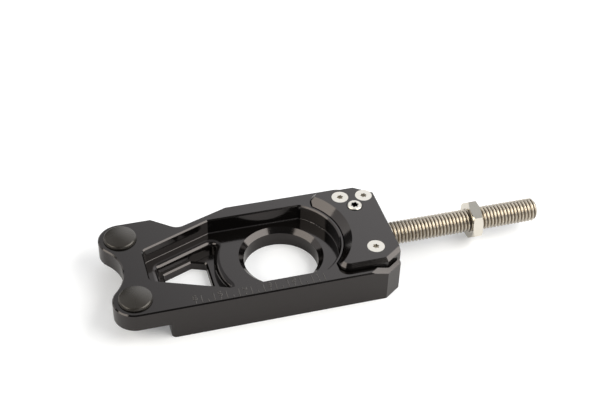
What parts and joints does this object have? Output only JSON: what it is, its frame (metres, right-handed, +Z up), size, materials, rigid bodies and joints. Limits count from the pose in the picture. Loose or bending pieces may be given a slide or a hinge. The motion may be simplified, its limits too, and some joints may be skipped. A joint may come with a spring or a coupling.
{
  "type": "motorcycle chain adjuster",
  "caption": "Black anodised axle block with a pocketed axle bore, plugged ears and a screwed-down worm gear housing that winds a threaded stud in or out to set chain tension.",
  "frame": {"origin": "on the wheel axle's centre line at the block's underside", "axes": "+X along the stud to its free end, +Y towards the side with the waist, +Z up through the axle bore"},
  "size_m": [0.1492, 0.0434, 0.0154],
  "materials": {
    "black_anodise": "satin black anodised",
    "screw_steel": "bright zinc",
    "stainless": "rolled thread, bright",
    "nut_steel": "turned",
    "washer_steel": "ground",
    "bronze": "machined",
    "seal_rubber": "moulded",
    "plug_plastic": "moulded, fine grain"
  },
  "bodies": {
    "block": {"axle_block": "black_anodise", "gear_housing": "black_anodise", "housing_screws": "screw_steel", "inner_hub_bush": "bronze", "outer_hub_bush": "bronze", "inner_thrust_washer": "washer_steel", "outer_thrust_washer": "washer_steel", "spindle_seal": "seal_rubber", "worm_foot_bush": "bronze", "worm_thrust_washer": "washer_steel", "worm_head_seal": "seal_rubber", "near_ear_plug": "plug_plastic", "far_ear_plug": "plug_plastic"},
    "worm": {"worm": "screw_steel"},
    "wheel": {"worm_wheel": "bronze"},
    "stud": {"spindle": "stainless"},
    "nut": {"lock_nut": "nut_steel"}
  },
  "joints": [
    {"name": "worm_spin", "type": "hinge", "parent": "block", "child": "worm", "pos_m": [0.028, 0.0088, 0.0076], "axis": [0, 0, 1], "range_deg": [-6912, 18432]},
    {"name": "wheel_spin", "type": "hinge", "parent": "block", "child": "wheel", "pos_m": [0.028, 0, 0.0076], "axis": [1, 0, 0], "range_deg": [-1152, 432]},
    {"name": "stud_slide", "type": "slide", "parent": "block", "child": "stud", "axis": [1, 0, 0], "range_m": [-0.0015, 0.004]},
    {"name": "nut_slide", "type": "slide", "parent": "stud", "child": "nut", "axis": [1, 0, 0], "range_m": [-0.028, 0.02]}
  ],
  "couplings": [
    {"joint": "worm_spin", "follows": "stud_slide", "rad_per_m": 80425},
    {"joint": "wheel_spin", "follows": "stud_slide", "rad_per_m": -5026.5}
  ]
}
